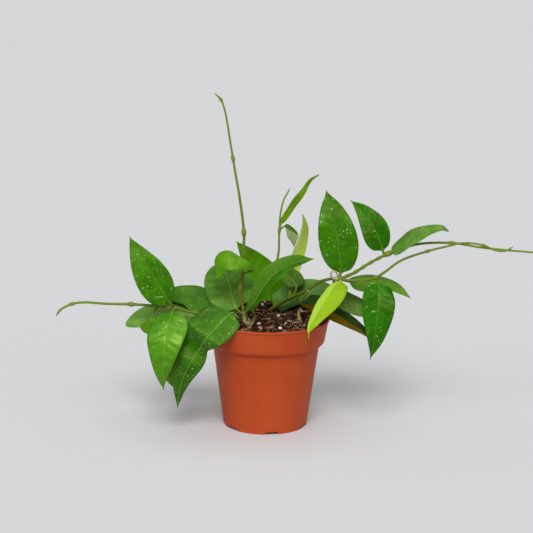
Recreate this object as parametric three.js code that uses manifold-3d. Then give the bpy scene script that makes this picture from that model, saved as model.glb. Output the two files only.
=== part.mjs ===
// A trailing house plant with thick leaves in a round nursery pot, in millimetres, +Z up.
// The pot stands on z = 0 with its axis on the origin, and the plant is seen from -Y.
import * as THREE from 'three';
import { mergeVertices } from 'three/addons/utils/BufferGeometryUtils.js';
import Module from 'manifold-3d';

const wasm = await Module();
wasm.setup();

// Pot
const rimRadius = 60;
const potHeight = 104.3;
const baseRadius = 39.8;
const bodyRadius = 50.8;
const collarRadius = 56;
const collarLine = 79;
const shoulderHeight = 5.5;
const lipHeight = 2.4;
const lipStep = 0.5;
const wall = 1.5;
const floorThickness = 1.6;
const potSides = 48;
const notchCount = 6;
const notchWidth = 12.4;
const notchHeight = 2.4;
const notchDepth = 5;
const firstNotchAngle = 9.7;

// Soil
const fitGap = 0.35;
const soilEdge = 95.5;
const soilMound = 4.6;
const soilGrain = 0.9;
const soilRise = 5;
const soilRiseBehind = [26, 48];
const soilRiseEndsRight = [42, 66];
const soilHeaps = [
  { x: -9, y: 39, reach: 8, height: 5.5 },
  { x: 31, y: 39, reach: 9, height: 9.5 },
  { x: -20, y: 44, reach: 9, height: 6 },
  { x: 3, y: 43.5, reach: 4.2, height: 6 },
  { x: 44, y: 24, reach: 9, height: 6.5 },
];
const soilSlope = 1.3;
const soilBelowRim = 1.5;
const soilGap = 0.45;
const soilRim = 2.5;
const soilSides = 36;
const soilRings = 8;
const barkCount = 26;
const perliteCount = 12;
const soilSeed = 11;

// Stems
const stemSides = 6;
const holeClearance = 0.3;

// Leaves
const bladeThickness = 0.9;
const stalkRadius = 1.15;
const bladeRows = 12;
const stalkRows = 2;
const columns = [-1, -0.55, 0, 0.55, 1];
const tipHalfWidth = 0.7;
const edgeWave = 0.5;
const wavesPerLeaf = 2.3;
const dripLength = 0.09;

// Each stem: centre line, radius at its start and at its end, and steps along it.
const frontStems = [
  { path: [[-15, -22, 84], [-15.5, -22, 97], [-18, -22, 105]], radii: [2.1, 1.9], steps: 4 },
  {
    path: [
      [-17.5, -22, 103], [-23, -20, 107], [-32, -17, 111], [-48, -16, 112], [-66, -16, 111],
      [-85, -16, 115], [-105, -15, 117], [-127, -14, 118], [-152, -13, 118], [-171, -13, 119],
      [-183, -12, 117], [-194, -12, 111], [-198, -12, 105],
    ],
    radii: [1.6, 1],
    steps: 30,
  },
  {
    path: [
      [-17.5, -22, 103], [-21, -20, 111], [-23, -19, 122], [-25, -19, 133], [-23, -19, 148],
      [-22, -18, 174], [-22, -17, 189], [-26, -14, 219], [-31, -11, 246], [-35, -9, 269],
      [-41, -6, 301], [-45, -5, 311], [-51, -4, 316],
    ],
    radii: [1.6, 0.8],
    steps: 30,
  },
  {
    path: [
      [-15.5, -22, 100], [-11, -21, 109], [-13, -21, 118], [-7, -15, 131], [4, -4, 148],
      [10, 2, 162], [11, 5, 186], [12, 6, 204], [15, 8, 216], [21, 10, 227],
    ],
    radii: [1.5, 0.7],
    steps: 22,
  },
  { path: [[-17, -22.5, 102], [-17, -26, 109]], radii: [1.3, 1.1], steps: 1 },
];
const rightVine = [
  {
    path: [
      [1, 37, 84], [2, 36, 99], [16, 28, 112], [23, 22, 118], [37, 15, 126], [50, 8, 137],
      [61, 0, 142], [67, -4, 143], [80, -8, 149], [96, -10, 160], [112, -11, 169],
      [124, -12, 174], [140, -12, 179], [172, -9, 180], [199, -8, 176], [227, -6, 173],
      [249, -4, 171], [271, -2, 168], [285, 0, 170],
    ],
    radii: [1.7, 0.8],
    steps: 44,
  },
  {
    path: [
      [67, -4, 143], [80, -10, 143], [100, -12, 146], [109, -15, 152], [124, -17, 164],
      [149, -15, 173], [170, -12, 178], [180, -10, 180], [191, -9, 180], [202, -9, 178],
      [214, -8, 173], [223, -8, 173], [230, -7, 177],
    ],
    radii: [1.3, 0.8],
    steps: 26,
  },
  {
    path: [[66, -4, 143], [61, -8, 145], [60, -9, 150], [64, -8, 151], [67.5, -5, 145]],
    radii: [0.95, 0.85],
    steps: 9,
  },
  { path: [[41, 13, 129], [38, 12, 125], [37, 11, 120]], radii: [0.8, 0.6], steps: 3 },
];

// Swollen nodes on the stems: centre, direction of the stem, radius and half length.
const frontKnobs = [
  { at: [-127, -14, 118], along: [1, 0, 0], radius: 2.4, half: 3 },
  { at: [-183, -12, 117], along: [1, 0, 0.2], radius: 1.9, half: 2.6 },
  { at: [-86, -16, 115], along: [1, 0, 0.1], radius: 2.1, half: 2.6 },
  { at: [-17, -22, 103.5], along: [0, 0, 1], radius: 2.6, half: 3.6 },
  { at: [-25.4, -19.6, 138], along: [0, 0, 1], radius: 2.3, half: 7.5 },
  { at: [-23, -19, 152], along: [0, 0, 1], radius: 2.1, half: 3 },
  { at: [-22, -17, 189], along: [0, 0, 1], radius: 2.4, half: 3 },
  { at: [-32.5, -10.4, 257], along: [-0.1, 0, 1], radius: 2, half: 2.6 },
  { at: [-44.5, -5, 310.5], along: [-0.5, 0, 1], radius: 1.6, half: 2.2 },
  { at: [11, 5, 187], along: [0, 0, 1], radius: 1.7, half: 2.4 },
];
const rightKnobs = [
  { at: [23, 22, 118], along: [1, -0.6, 0.5], radius: 2.3, half: 3 },
  { at: [67, -4, 143], along: [1, -0.4, 0.1], radius: 2.7, half: 4 },
  { at: [113, -11, 169.5], along: [1, 0, 0.5], radius: 2.9, half: 4 },
  { at: [172, -9, 180], along: [1, 0, 0], radius: 2, half: 2.6 },
  { at: [101, -12.5, 146.5], along: [1, 0, 0.5], radius: 2, half: 2.4 },
  { at: [149, -15, 173], along: [1, 0, 0.3], radius: 1.8, half: 2.4 },
  { at: [202, -9, 178], along: [1, 0, -0.2], radius: 1.6, half: 2.2 },
];

// Roots that lie on the soil and have grown fast to it.
const soilRoots = [
  {
    path: [[-5, 40, 97], [-7, 40, 103], [-4, 41, 105], [-1, 40, 103], [-1, 39, 96]],
    radii: [0.9, 0.9],
    steps: 8,
  },
  { path: [[33, 4, 96], [31, 8, 102], [31, 14, 106], [33, 22, 107]], radii: [1.7, 1.1], steps: 6 },
];

// Each leaf: its path from inside its stem through the foot of the blade (second point) to the tip.
// Its right half, and its left one where that differs, has a width and how pointed it is at foot
// and tip. Then come the way its upper side faces, fold, curl and twist in degrees, how drawn out
// the tip is, how far the right half is sheared forward, and a dent where one half (1 right, -1 left)
// turns down and narrows.
const leaves = [
  {
    name: 'left_upright',
    path: [
      [-86, -16, 115], [-90, -19, 121], [-105.5, -22, 147], [-118.5, -16, 167], [-129, -6, 181],
    ],
    right: [14.6, 0.75, 1.4], left: [19, 0.55, 1.1], face: [0.15, -1, 0.25],
    fold: 10, curl: 10, colour: 0x4f8a24,
  },
  {
    name: 'left_hanging',
    path: [
      [-84, -16, 115], [-87.5, -28, 114.5], [-90, -47.5, 107], [-92, -58.5, 95], [-93, -62, 80.5],
      [-93.5, -62, 64.5], [-93.5, -59, 48.5],
    ],
    right: [18.8, 0.5, 1], left: [18.3, 0.55, 1.45], face: [-0.2, -1, 0.35],
    curl: -15, colour: 0x5c9a24,
  },
  {
    name: 'left_back',
    path: [[-50, -16, 112], [-54, 2, 117], [-70, 13, 122], [-86, 17, 122], [-101.5, 18, 118]],
    right: [13.5, 0.5, 0.8], left: [21, 0.12, 0.8], face: [0, -0.5, 0.87],
    curl: -10, colour: 0x4a7440,
  },
  {
    name: 'left_low',
    path: [
      [-56.5, -16, 111], [-62.5, -8, 109], [-90.5, 2, 107.5], [-114, -1, 103.5], [-133, -8, 96],
    ],
    right: [14, 0.5, 0.6], left: [17.5, 0.5, 0.6], face: [0, -0.5, 0.87],
    curl: -10, colour: 0x4a7a34,
  },
  {
    name: 'left_tucked',
    path: [
      [-102, -15, 117], [-107.5, -19, 106.5], [-97, -23, 90], [-92.5, -27, 72], [-88.5, -30, 57],
      [-84, -30, 42.5],
    ],
    right: [15, 0.1, 0.5], left: [10, 0.3, 0.6], face: [0, -1, 0.2],
    curl: -10,
    dent: { half: 1, at: 0.25, reach: 0.13, degrees: 0, narrowing: 0.55 },
    colour: 0x3c6a1c,
  },
  {
    name: 'front_large',
    path: [
      [-22, -20, 106], [-31, -39, 117.5], [-44.5, -49, 107.5], [-55, -58, 97.5], [-62, -49, 83.5],
      [-70, -52, 71.5], [-78.5, -45, 50], [-82.5, -34, 23],
    ],
    right: [24.7, 0.28, 1.22], left: [17.6, 0.2, 1], face: [0.06, -0.9, 0.5],
    curl: -10, twist: -57,
    dent: { half: -1, at: 0.39, reach: 0.1, degrees: 1, narrowing: 0.5 },
    colour: 0x4f8238,
  },
  {
    name: 'corner',
    path: [[-20, -20, 110], [-28, -10, 114], [-33, -2, 124.5], [-37, 0, 139.5], [-43, -3, 157.5]],
    right: [24, 0.5, 0.75], left: [23.5, 0.45, 0.4], face: [0.1, -1, 0.1],
    colour: 0x3e6e26,
  },
  {
    name: 'curled',
    path: [
      [-23, -19, 150], [-16, -25, 154], [-12.5, -29, 159.5], [-18.5, -34, 165], [-27.5, -37, 166],
      [-35.5, -38, 165.5], [-41, -38, 162.5], [-44, -37, 156], [-47, -36, 147.5],
    ],
    right: [12.9, 6.3, 3.4], left: [9.5, 0.9, 1], face: [-0.1, -0.8, 0.6],
    curl: -10, colour: 0x64a030,
  },
  {
    name: 'back_upright',
    path: [
      [1.5, 49.5, 89], [2.5, 52.5, 105.7], [-2, 52.3, 126], [-13.5, 48, 146.5], [-30, 40, 168.5],
    ],
    right: [20, 0.15, 0.95], left: [17, 0.25, 0.95], face: [0.1, -1, 0.3],
    colour: 0x578f28,
  },
  {
    name: 'long_front',
    path: [
      [-16, -23, 104], [-19, -31, 116], [-11, -37, 128], [-4, -38, 140.5], [4.5, -35, 151],
      [14.5, -30, 158], [27.5, -24, 162.5], [43, -18, 165],
    ],
    right: [12.5, 0.9, 0.8], left: [10.5, 0.9, 0.8], face: [-0.3, -0.8, 0.6],
    fold: 32, drip: 0.5, colour: 0x558c2e,
  },
  {
    name: 'behind_long',
    path: [[24.5, 21, 119], [28.5, 24, 127.5], [24.5, 28, 133], [16.5, 31, 139.5], [4.5, 30, 146]],
    right: [12.5, 0.35, 0.8], left: [8.5, 0.4, 0.8], face: [0.2, -0.7, 0.7],
    colour: 0x3f6d2e,
  },
  {
    name: 'soil_long',
    path: [
      [7.5, 41, 92.5], [7, 39, 104.5], [18, 37, 112], [32, 33, 120], [47.5, 30, 124.5],
      [64.5, 26, 127],
    ],
    right: [10.4, 0.25, 0.4], left: [14.3, 0.3, 0.65], face: [0, -0.9, 0.62],
    colour: 0x4d7844,
  },
  {
    name: 'lime_hanging',
    path: [
      [68, -4, 143], [69, -8, 142], [62.5, -20, 138.5], [57.5, -29, 132.5], [52.5, -37, 126.5],
      [46.5, -46, 119], [41, -54, 111.5], [38.5, -59, 106], [39, -61, 99.5],
    ],
    right: [6.6, 0.9, 1.2], left: [13.8, 0.4, 1.05], face: [-0.2, -0.85, 0.5],
    curl: -10, drip: 0.85, colour: 0x9cc43c,
  },
  {
    name: 'right_tall',
    path: [
      [67, -4, 143], [69, -4, 148], [67, -2, 170.5], [62.5, 2, 195.5], [57.5, 10, 214.5],
      [54.5, 14, 224.5],
    ],
    right: [19.2, 0.55, 1], left: [17.8, 0.6, 0.95], face: [0, -1, 0.15],
    fold: 5, drip: 0.5, colour: 0x568f2a,
  },
  {
    name: 'right_small',
    path: [[109, -10, 168], [108, -9, 171.5], [101, -6, 190], [91, 2, 203], [77, 10, 216]],
    right: [12.4, 0.6, 1.05], left: [13.8, 0.5, 1.35], face: [0.1, -1, 0.2],
    fold: 10, drip: 0.4, colour: 0x4d8a24,
  },
  {
    name: 'right_sideways',
    path: [
      [112, -11, 169], [115, -13, 171], [123.5, -17, 179.5], [132.5, -21, 187.5],
      [141.5, -23, 192.5], [151.5, -25, 196], [161, -25, 197], [167, -24, 194],
    ],
    right: [9.6, 0.45, 0.95], left: [8.3, 0.45, 0.8], face: [0, -0.6, 0.8],
    curl: -10, colour: 0x5a8f38,
  },
  {
    name: 'right_droop',
    path: [[68, -4, 143], [77, 4, 139], [95, 9, 137], [117, 7, 134], [136, -1, 125]],
    right: [12, 0.5, 1.35], left: [11.2, 0.7, 1], face: [0, -0.55, 0.83],
    curl: -10, colour: 0x4c7a3c,
  },
  {
    name: 'right_hanging',
    path: [
      [101, -12, 146], [104, -18, 143], [103.5, -28, 131], [102, -35, 113], [100, -38, 92],
      [97, -36, 73],
    ],
    right: [15.3, 0.5, 1.35], left: [16, 0.5, 1.15], face: [0.1, -1, 0.25],
    fold: 5, drip: 0.3, colour: 0x548c28,
  },
  {
    name: 'right_back',
    path: [[63.5, -1, 141], [63, 9, 128], [72, 16, 119], [88, 14, 112], [106, 10, 105]],
    right: [11, 0.5, 0.7], left: [9.5, 0.5, 0.7], face: [0, -0.8, 0.6],
    colour: 0x4a7048,
  },
  {
    name: 'right_arched',
    path: [
      [39.5, 13, 126.5], [32, 6, 117], [45, -1.5, 113], [59, -9, 106], [73, -16, 101],
      [87, -23, 96.5], [101.5, -27, 89.5],
    ],
    right: [9, 1.6, 1.7], left: [15.2, 0.3, 0.7], face: [0.1, -0.1, 1],
    fold: 40,
    dent: { half: 1, at: 0.5, reach: 1, degrees: -28, narrowing: 0 },
    colour: 0x3e5c24,
  },
  {
    name: 'lime_upright',
    path: [
      [22, 24, 118], [23, 30, 126.5], [25.5, 42, 139], [29, 47, 154.5], [33, 44, 170],
      [34.5, 37, 183.5], [33, 28, 199],
    ],
    right: [7.5, 0.6, 0.85], left: [7.2, 0.6, 1.6], face: [0.5, -1, 0.1],
    curl: 10, colour: 0xa4c455,
  },
  {
    name: 'narrow',
    path: [
      [11, 5, 187], [12.5, 6, 193], [21.5, 8, 207], [32, 10, 221.5], [40, 13, 233.5],
      [47.5, 15, 239],
    ],
    right: [4.4, 0.3, 0.8], left: [3.7, 0.5, 0.8], face: [-0.5, -0.8, 0.3],
    stalk: 0.8, fold: 20, drip: 0.5, colour: 0x639a34,
  },
  {
    name: 'folded_small',
    path: [[11, 5, 187], [15.5, 3, 191], [20, 3, 188], [24.5, 4, 185.5], [29, 5, 182]],
    right: [12, 1.6, 1], left: [4.2, 0.3, 0.8], face: [0.1, -1, 0.25],
    stalk: 0.8, fold: -8, shear: 0.69, colour: 0x6f9a52,
  },
];

const vector = (point) => new THREE.Vector3(...point);

// A repeatable random number between 0 and 1.
function seeded(seed) {
  let state = seed;
  return () => {
    state = (state * 16807) % 2147483647;
    return state / 2147483647;
  };
}

// A closed three.js geometry as a manifold solid.
function solid(geometry) {
  const bare = geometry.clone();
  bare.deleteAttribute('normal');
  bare.deleteAttribute('uv');
  const merged = mergeVertices(bare, 1e-4);
  return new wasm.Manifold(new wasm.Mesh({
    numProp: 3,
    vertProperties: new Float32Array(merged.attributes.position.array),
    triVerts: new Uint32Array(merged.index.array),
  }));
}

// A manifold solid as a named mesh with its own material.
function piece(name, body, colour, roughness) {
  const { vertProperties, triVerts } = body.getMesh();
  const geometry = new THREE.BufferGeometry();
  geometry.setAttribute('position', new THREE.BufferAttribute(new Float32Array(vertProperties), 3));
  geometry.setIndex(new THREE.BufferAttribute(new Uint32Array(triVerts), 1));
  geometry.computeVertexNormals();
  const mesh = new THREE.Mesh(
    geometry,
    new THREE.MeshStandardMaterial({ color: colour, roughness, metalness: 0 }),
  );
  mesh.name = name;
  return mesh;
}

// Joins two neighbouring rows of points with two triangles for each pair of points.
function strip(indices, rowA, rowB, flip) {
  for (let i = 0; i < rowA.length - 1; i += 1) {
    const [a, b, c, d] = [rowA[i], rowA[i + 1], rowB[i + 1], rowB[i]];
    if (flip) indices.push(a, c, b, a, d, c);
    else indices.push(a, b, c, a, c, d);
  }
}

// A round tube of changing radius along a smooth line, closed at both ends.
function tube({ path, radii, steps }, grow = 0) {
  const line = path.map(vector);
  const lengthen = (end, next) => end.add(end.clone().sub(next).setLength(grow || 1e-6));
  lengthen(line[0], line[1]);
  lengthen(line[line.length - 1], line[line.length - 2]);
  const curve = new THREE.CatmullRomCurve3(line);
  const frames = curve.computeFrenetFrames(steps, false);
  const points = [];
  const indices = [];
  for (let k = 0; k <= steps; k += 1) {
    const centre = curve.getPointAt(k / steps);
    const radius = THREE.MathUtils.lerp(radii[0], radii[1], k / steps) + grow;
    for (let i = 0; i < stemSides; i += 1) {
      const angle = (i / stemSides) * 2 * Math.PI;
      const corner = centre.clone()
        .addScaledVector(frames.normals[k], Math.cos(angle) * radius)
        .addScaledVector(frames.binormals[k], Math.sin(angle) * radius);
      points.push(corner.x, corner.y, corner.z);
    }
  }
  const ring = (k) => [...Array(stemSides + 1).keys()].map((i) => k * stemSides + (i % stemSides));
  for (let k = 0; k < steps; k += 1) strip(indices, ring(k), ring(k + 1), false);
  for (let i = 1; i < stemSides - 1; i += 1) {
    const last = steps * stemSides;
    indices.push(0, i + 1, i, last, last + i, last + i + 1);
  }
  const geometry = new THREE.BufferGeometry();
  geometry.setAttribute('position', new THREE.Float32BufferAttribute(points, 3));
  geometry.setIndex(indices);
  return solid(geometry);
}

// A swollen node: a small ball stretched along its stem.
function knob({ at, along, radius, half }, grow = 0) {
  const ball = new THREE.SphereGeometry(1, stemSides, 4);
  ball.scale(radius + grow, half + grow, radius + grow);
  const turn = new THREE.Quaternion().setFromUnitVectors(
    new THREE.Vector3(0, 1, 0),
    vector(along).normalize(),
  );
  ball.applyQuaternion(turn);
  ball.translate(...at);
  return solid(ball);
}

function fuse(bodies) {
  return bodies.reduce((whole, body) => whole.add(body));
}

function stemBody(stems, knobs, grow) {
  return fuse([
    ...stems.map((stem) => tube(stem, grow)),
    ...knobs.map((node) => knob(node, grow)),
  ]);
}

// The largest of the loose bodies that a cut has left.
function largest(body) {
  return body.decompose().reduce((best, part) => (part.volume() > best.volume() ? part : best));
}

// Width of one half of a blade at t, from 0 at its foot to 1 at its tip.
function outline(t, [width, foot, tip], drip = 0) {
  const widest = foot / (foot + tip);
  const peak = widest ** foot * (1 - widest) ** tip;
  const drawnOut = 1 - drip * Math.exp(-(((1 - t) / dripLength) ** 2));
  return ((width * t ** foot * (1 - t) ** tip) / peak) * drawnOut;
}

// The point and three directions of a leaf's cross-sections along its path.
function leafFrames(leaf) {
  const curve = new THREE.CatmullRomCurve3(leaf.path.map(vector), false, 'centripetal');
  curve.arcLengthDivisions = 400;
  const lengths = curve.getLengths();
  const footAt = lengths[Math.round(400 / (leaf.path.length - 1))] / lengths[400];
  const rows = [];
  for (let k = 0; k < stalkRows; k += 1) rows.push({ u: (k / stalkRows) * footAt, t: -1 });
  for (let k = 0; k <= bladeRows; k += 1) {
    const t = (1 - Math.cos((k / bladeRows) * Math.PI)) / 2;
    rows.push({ u: footAt + (1 - footAt) * t, t });
  }
  const middle = stalkRows + bladeRows / 2;
  for (const row of rows) {
    row.centre = curve.getPointAt(row.u);
    row.tangent = curve.getTangentAt(row.u);
  }
  const carry = (row, from) => from.clone().addScaledVector(row.tangent, -from.dot(row.tangent)).normalize();
  rows[middle].up = carry(rows[middle], vector(leaf.face));
  for (let k = middle + 1; k < rows.length; k += 1) rows[k].up = carry(rows[k], rows[k - 1].up);
  for (let k = middle - 1; k >= 0; k -= 1) rows[k].up = carry(rows[k], rows[k + 1].up);
  for (const row of rows) {
    const angle = THREE.MathUtils.degToRad(leaf.twist ?? 0) * (Math.max(row.t, 0) - 0.5);
    row.up.applyAxisAngle(row.tangent, angle);
    row.side = new THREE.Vector3().crossVectors(row.tangent, row.up);
  }
  return rows;
}

// A leaf: a stalk that widens into one arched blade, folded and curled about its midrib.
function leafBody(leaf, index) {
  const rows = leafFrames(leaf);
  const stalk = leaf.stalk ?? stalkRadius;
  const { right, left = right, drip, dent } = leaf;
  const bend = THREE.MathUtils.degToRad(leaf.curl ?? 0) / Math.max(right[0], left[0]);
  const points = [];
  const indices = [];
  const row = (k, lower) => columns.map((_, i) => (k * 2 + lower) * columns.length + i);
  for (const { t, centre, tangent, up, side } of rows) {
    const onStalk = t < 0;
    const thick = onStalk ? 2 * stalk : bladeThickness;
    for (const face of [1, -1]) {
      for (const s of columns) {
        const half = s > 0 ? right : left;
        const dented = dent?.half === Math.sign(s) ? Math.exp(-(((t - dent.at) / dent.reach) ** 2)) : 0;
        const narrowed = outline(Math.max(t, 0), half, drip) * (1 - (dent?.narrowing ?? 0) * dented);
        const width = onStalk ? stalk : Math.max(narrowed, tipHalfWidth);
        const fold = THREE.MathUtils.degToRad((leaf.fold ?? 0) - (dent?.degrees ?? 0) * dented);
        const across = Math.abs(s) * width;
        const flat = bend ? Math.sin(bend * across) / bend : across;
        const raised = bend ? (1 - Math.cos(bend * across)) / bend : 0;
        const wave = edgeWave * s * s * Math.sin(2 * Math.PI * wavesPerLeaf * t + index + s);
        const out = flat * Math.cos(fold) - raised * Math.sin(fold);
        const lift = flat * Math.sin(fold) + raised * Math.cos(fold) + wave;
        const rounded = onStalk ? 1 - 0.45 * s * s : 1;
        const ahead = onStalk || s <= 0 ? 0 : (leaf.shear ?? 0) * out;
        const corner = centre.clone()
          .addScaledVector(side, Math.sign(s) * (onStalk ? across : out))
          .addScaledVector(up, (onStalk ? 0 : lift) + (face * thick * rounded) / 2)
          .addScaledVector(tangent, ahead);
        points.push(corner.x, corner.y, corner.z);
      }
    }
  }
  for (let k = 0; k < rows.length - 1; k += 1) {
    strip(indices, row(k, 0), row(k + 1, 0), false);
    strip(indices, row(k, 1), row(k + 1, 1), true);
    const last = columns.length - 1;
    strip(indices, [row(k, 0)[0], row(k, 1)[0]], [row(k + 1, 0)[0], row(k + 1, 1)[0]], true);
    strip(indices, [row(k, 0)[last], row(k, 1)[last]], [row(k + 1, 0)[last], row(k + 1, 1)[last]], false);
  }
  strip(indices, row(0, 0), row(0, 1), true);
  strip(indices, row(rows.length - 1, 0), row(rows.length - 1, 1), false);
  const geometry = new THREE.BufferGeometry();
  geometry.setAttribute('position', new THREE.Float32BufferAttribute(points, 3));
  geometry.setIndex(indices);
  return solid(geometry);
}

// The pot's wall line: radius of the outside at a height.
function outerRadius(z) {
  if (z <= collarLine) return THREE.MathUtils.lerp(baseRadius, bodyRadius, z / collarLine);
  const shoulder = collarLine + shoulderHeight;
  return THREE.MathUtils.lerp(collarRadius, rimRadius, (z - shoulder) / (potHeight - shoulder));
}

function innerRadius(z) {
  const shoulder = collarLine + shoulderHeight;
  if (z <= shoulder) {
    return THREE.MathUtils.lerp(baseRadius, bodyRadius, Math.min(z, collarLine) / collarLine) - wall;
  }
  return outerRadius(z) - wall;
}

// Turns a closed profile of [radius, height] pairs about the Z axis.
function lathe(profile, sides) {
  const turned = new THREE.LatheGeometry(profile.map(([r, z]) => new THREE.Vector2(r, z)), sides);
  turned.rotateX(Math.PI / 2);
  return solid(turned);
}

function potBody() {
  const shoulder = collarLine + shoulderHeight;
  const lipFoot = potHeight - lipHeight;
  const profile = [
    [0, 0],
    [baseRadius, 0],
    [bodyRadius, collarLine],
    [bodyRadius + 2.8, collarLine + 1],
    [bodyRadius + 4.5, collarLine + 2.8],
    [collarRadius, shoulder],
    [outerRadius(lipFoot) - lipStep, lipFoot],
    [rimRadius, lipFoot + lipStep],
    [rimRadius, potHeight - 0.5],
    [rimRadius - 0.6, potHeight],
    [rimRadius - wall, potHeight],
    [innerRadius(shoulder + 1), shoulder + 1],
    [innerRadius(collarLine), collarLine - 1],
    [innerRadius(floorThickness), floorThickness],
    [0, floorThickness],
  ];
  let body = lathe(profile, potSides);
  for (let k = 0; k < notchCount; k += 1) {
    const notch = new THREE.BoxGeometry(notchWidth, 2 * notchDepth, 2 * notchHeight);
    notch.translate(0, -baseRadius, 0);
    notch.rotateZ(THREE.MathUtils.degToRad(firstNotchAngle + (k * 360) / notchCount));
    body = body.subtract(solid(notch));
  }
  return body;
}

// Height of the soil's surface: a low mound with a fine relief, heaped up behind the vines, and kept
// below the rim at the wall.
function soilHeight(x, y) {
  const { smoothstep } = THREE.MathUtils;
  const r = Math.hypot(x, y) / rimRadius;
  const rise = soilRise * smoothstep(y, ...soilRiseBehind) * (1 - smoothstep(x, ...soilRiseEndsRight));
  const heap = soilHeaps.reduce(
    (sum, { x: atX, y: atY, reach, height }) =>
      sum + height * Math.exp(-((x - atX) ** 2 + (y - atY) ** 2) / reach ** 2),
    rise,
  );
  const mound = soilMound * Math.cos(Math.min(r, 1) * Math.PI / 2) + 0.02 * y + heap;
  const relief = Math.sin(x * 0.55 + 1.3) * Math.cos(y * 0.47) + 0.6 * Math.sin(x * 0.21 - y * 0.83);
  const fromWall = innerRadius(soilEdge) - Math.hypot(x, y);
  const highest = potHeight - soilBelowRim + soilSlope * fromWall;
  return Math.min(soilEdge + mound + soilGrain * relief, highest);
}

function soilBody() {
  const bottom = floorThickness + fitGap;
  const sideHeights = [bottom, collarLine - 1, collarLine + shoulderHeight + 1, soilEdge];
  const points = [0, 0, bottom];
  const indices = [];
  const add = (r, angle, z) => points.push(r * Math.cos(angle), r * Math.sin(angle), z);
  const edge = innerRadius(soilEdge) - soilGap;
  const rows = [];
  for (const z of sideHeights) rows.push({ radius: innerRadius(z) - soilGap, z });
  rows.push({ radius: edge - soilRim, z: null });
  for (let k = soilRings - 1; k > 0; k -= 1) rows.push({ radius: (edge * k) / soilRings, z: null });
  for (const { radius, z } of rows) {
    for (let i = 0; i < soilSides; i += 1) {
      const angle = (i / soilSides) * 2 * Math.PI;
      add(radius, angle, z ?? soilHeight(radius * Math.cos(angle), radius * Math.sin(angle)));
    }
  }
  points.push(0, 0, soilHeight(0, 0));
  const top = points.length / 3 - 1;
  const ring = (k) => [...Array(soilSides + 1).keys()].map((i) => 1 + k * soilSides + (i % soilSides));
  for (let k = 0; k < rows.length - 1; k += 1) strip(indices, ring(k), ring(k + 1), false);
  for (let i = 0; i < soilSides; i += 1) {
    indices.push(0, ring(0)[i + 1], ring(0)[i]);
    indices.push(top, ring(rows.length - 1)[i], ring(rows.length - 1)[i + 1]);
  }
  const geometry = new THREE.BufferGeometry();
  geometry.setAttribute('position', new THREE.Float32BufferAttribute(points, 3));
  geometry.setIndex(indices);
  return solid(geometry);
}

// Bark shreds and perlite grains, half sunk in the soil's surface.
function soilBits() {
  const random = seeded(soilSeed);
  const bits = [];
  const reach = innerRadius(soilEdge) - 5;
  for (let k = 0; k < barkCount + perliteCount; k += 1) {
    const bark = k < barkCount;
    const radius = reach * Math.sqrt(random());
    const angle = 2 * Math.PI * random();
    const size = 1.3 + 1.2 * random();
    const bit = bark
      ? new THREE.BoxGeometry(size * 3.2, size * 1.1, size)
      : new THREE.IcosahedronGeometry(size, 0);
    bit.rotateX((random() - 0.5) * 0.9);
    bit.rotateY((random() - 0.5) * 0.7);
    bit.rotateZ(random() * Math.PI);
    const x = radius * Math.cos(angle);
    const y = radius * Math.sin(angle);
    bit.translate(x, y, soilHeight(x, y) + size * 0.15);
    bits.push(solid(bit));
  }
  return bits;
}

// The part of a leaf's stalk that stands in the soil, widened to a plain hole.
function stalkHole(leaf) {
  const radius = stalkRadius * Math.SQRT2;
  const centres = leafFrames(leaf).slice(0, stalkRows + 1).map((row) => row.centre.toArray());
  return tube({ path: centres, radii: [radius, radius], steps: 5 }, holeClearance);
}

const frontStemBody = stemBody(frontStems, frontKnobs, 0);
const rightVineBody = stemBody(rightVine, rightKnobs, 0);
const stemRoom = stemBody(frontStems, frontKnobs, fitGap).add(stemBody(rightVine, rightKnobs, fitGap));
const standing = leaves.filter((leaf) => ['back_upright', 'soil_long'].includes(leaf.name));
const soil = largest(
  fuse([soilBody(), ...soilBits(), ...soilRoots.map((root) => tube(root))])
    .subtract(stemRoom)
    .subtract(fuse(standing.map(stalkHole))),
);

const group = new THREE.Group();
group.add(piece('pot', potBody(), 0xb4552d, 0.5));
group.add(piece('soil', soil, 0x4a3526, 1));
group.add(piece('front_stems', frontStemBody, 0x6a7a2a, 0.6));
group.add(piece('right_vine', rightVineBody, 0x6a6a2a, 0.6));
leaves.forEach((leaf, index) => {
  const blade = largest(leafBody(leaf, index).subtract(stemRoom));
  group.add(piece(`leaf_${leaf.name}`, blade, leaf.colour, 0.4));
});

export default group;
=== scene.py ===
"""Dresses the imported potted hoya: leaves, vines, pot, soil, a pale studio and the camera.

Lengths in the tables are millimetres, as in the part's source, and everything is built in metres.
The plant is seen from -Y, with +X to the right and +Z up.
"""
import math
import random
import bmesh
import bpy
import numpy as np
from mathutils import Matrix, Vector


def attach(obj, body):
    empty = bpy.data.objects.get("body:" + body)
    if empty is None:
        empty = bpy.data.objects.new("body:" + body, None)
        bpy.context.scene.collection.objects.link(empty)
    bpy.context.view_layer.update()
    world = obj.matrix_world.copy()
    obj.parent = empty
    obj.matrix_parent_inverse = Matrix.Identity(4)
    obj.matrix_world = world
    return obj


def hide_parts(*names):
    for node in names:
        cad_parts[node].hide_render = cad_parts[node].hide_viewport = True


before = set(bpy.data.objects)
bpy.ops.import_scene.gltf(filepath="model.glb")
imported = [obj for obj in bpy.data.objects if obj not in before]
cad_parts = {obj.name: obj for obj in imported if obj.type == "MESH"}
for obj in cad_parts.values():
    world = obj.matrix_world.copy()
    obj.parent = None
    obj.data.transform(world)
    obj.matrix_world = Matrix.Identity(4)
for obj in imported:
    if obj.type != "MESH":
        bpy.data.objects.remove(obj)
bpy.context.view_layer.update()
MM = 0.001

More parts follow.
